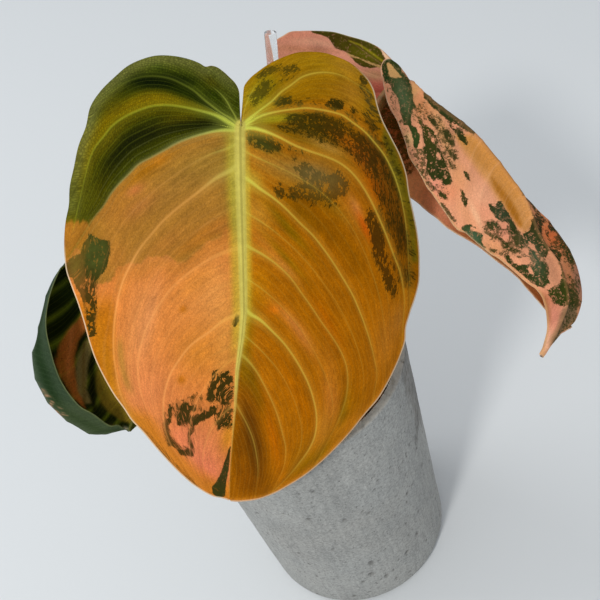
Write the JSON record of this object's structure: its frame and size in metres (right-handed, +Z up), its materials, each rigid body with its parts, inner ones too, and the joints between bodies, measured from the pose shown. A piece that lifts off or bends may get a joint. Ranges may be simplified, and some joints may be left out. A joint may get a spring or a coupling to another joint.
{
  "type": "potted variegated velvet-leaf climbing philodendron",
  "caption": "Potted climbing aroid: heart-shaped velvet leaves marbled green, orange and pink on long stalks, a stem tied to a clear rod, in a tall grey concrete pot.",
  "frame": {"origin": "centre of the pot's flat underside", "axes": "+Z up; -Y towards the side the big leaf faces; +X towards the folded leaf"},
  "size_m": [0.2481, 0.1623, 0.3252],
  "materials": {
    "concrete": "matt, fine pores and flecks",
    "potting_mix": "rough bark and fibre",
    "stem": "satin",
    "petiole": "satin, streaked",
    "blade_green_orange": "velvety",
    "blade_pink": "matt underside, velvety upper side",
    "blade_dark": "velvety",
    "clear_rod": "polished",
    "tie": "soft matt",
    "root": "rough",
    "sheath": "papery"
  },
  "bodies": {
    "root": {"pot": "concrete", "potting_mix": "potting_mix", "stem": "stem", "petiole_main": "petiole", "petiole_right": "petiole", "petiole_left": "petiole", "leaf_main": "blade_green_orange", "leaf_right_folded": "blade_pink", "leaf_left_cupped": "blade_dark", "aerial_root_left": "root", "aerial_root_right": "root", "cataphyll": "sheath", "support_rod": "clear_rod", "plant_tie_lower": "tie", "plant_tie_upper": "tie"}
  },
  "joints": []
}
